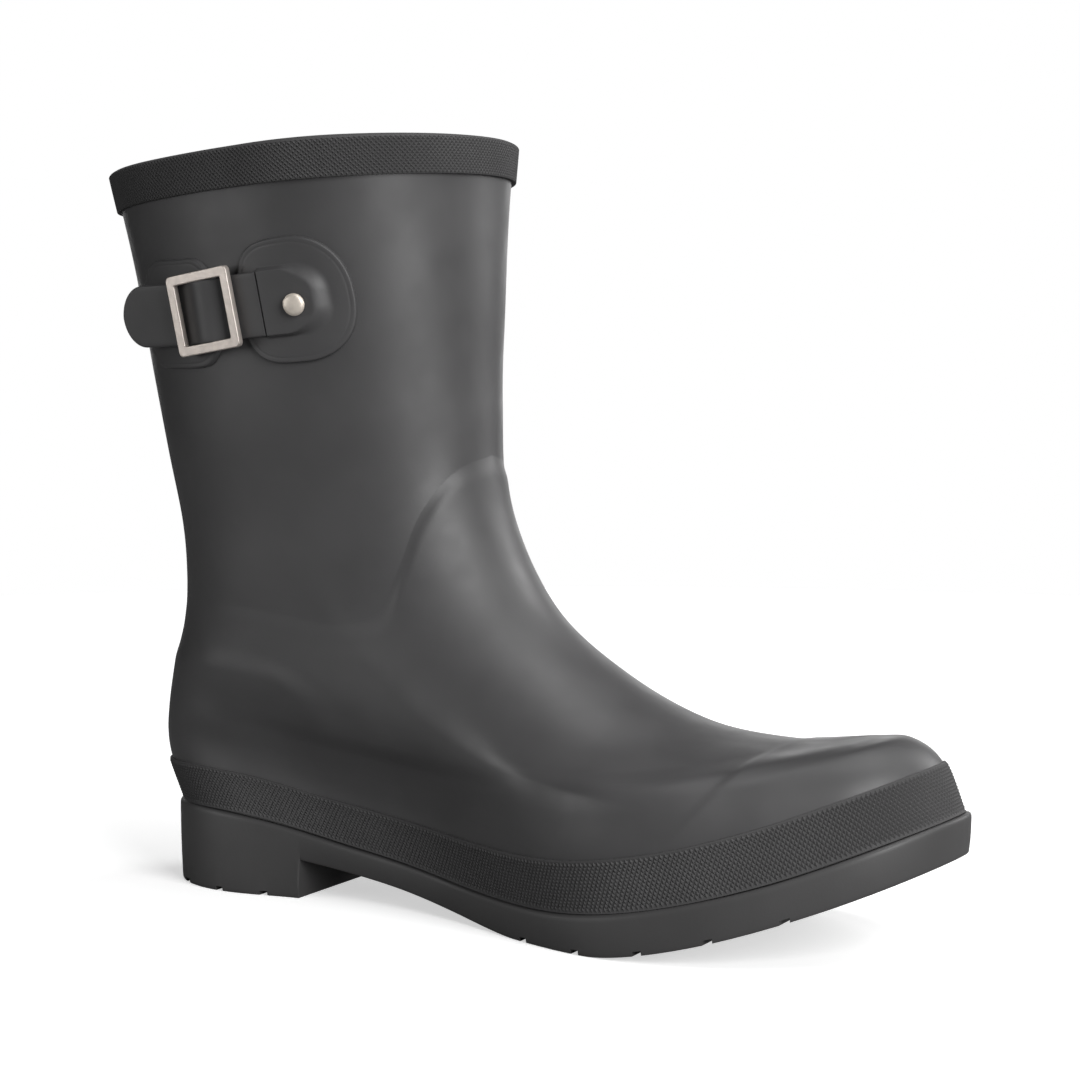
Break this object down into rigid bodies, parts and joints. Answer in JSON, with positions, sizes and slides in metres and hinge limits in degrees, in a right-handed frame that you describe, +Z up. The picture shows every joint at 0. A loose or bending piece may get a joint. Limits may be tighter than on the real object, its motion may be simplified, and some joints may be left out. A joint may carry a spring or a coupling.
{
  "type": "rubber rain boot",
  "caption": "Short matt rubber rain boot for the right foot, with a buckled strap, a textured top binding and a low block heel.",
  "frame": {"origin": "middle of the boot's box in plan, on the ground under the sole", "axes": "+X from the heel to the toe, +Y to the inner side of the foot, +Z up; the buckle is on the -Y side"},
  "size_m": [0.3012, 0.1172, 0.2477],
  "materials": {
    "upper_rubber": "satin",
    "foxing_rubber": "matt",
    "binding_rubber": "matt",
    "sole_rubber": "satin",
    "patch_rubber": "satin",
    "strap_rubber": "satin",
    "lining_knit": "matt",
    "footbed_fabric": "matt",
    "fibre_board": "matt",
    "spring_steel": "brushed",
    "brushed_nickel": "brushed",
    "satin_nickel": "satin"
  },
  "bodies": {
    "boot": {"outsole": "sole_rubber", "heel_core": "fibre_board", "shank": "spring_steel", "insole_board": "fibre_board", "footbed": "footbed_fabric", "upper_shell": "upper_rubber", "foot_overlay": "upper_rubber", "lining": "lining_knit", "heel_counter": "fibre_board", "toe_puff": "fibre_board", "foxing_band": "foxing_rubber", "top_binding": "binding_rubber", "front_patch": "patch_rubber", "rear_patch": "patch_rubber", "strap_cover": "patch_rubber", "strap": "strap_rubber", "rivet": "satin_nickel"},
    "buckle": {"buckle_frame": "brushed_nickel"},
    "tail": {"strap_tail": "strap_rubber"}
  },
  "joints": [
    {"name": "strap_tail_lift", "type": "hinge", "parent": "boot", "child": "tail", "pos_m": [-0.09796, -0.04812, 0.19076], "axis": [-0.0507, -0.0996, 0.9937], "range_deg": [-8, 60], "stiffness_Nm_per_rad": 0.01},
    {"name": "buckle_tilt", "type": "hinge", "parent": "boot", "child": "buckle", "pos_m": [-0.08317, -0.05173, 0.19186], "axis": [-0.1523, -0.0925, 0.984], "range_deg": [-3, 3]}
  ]
}
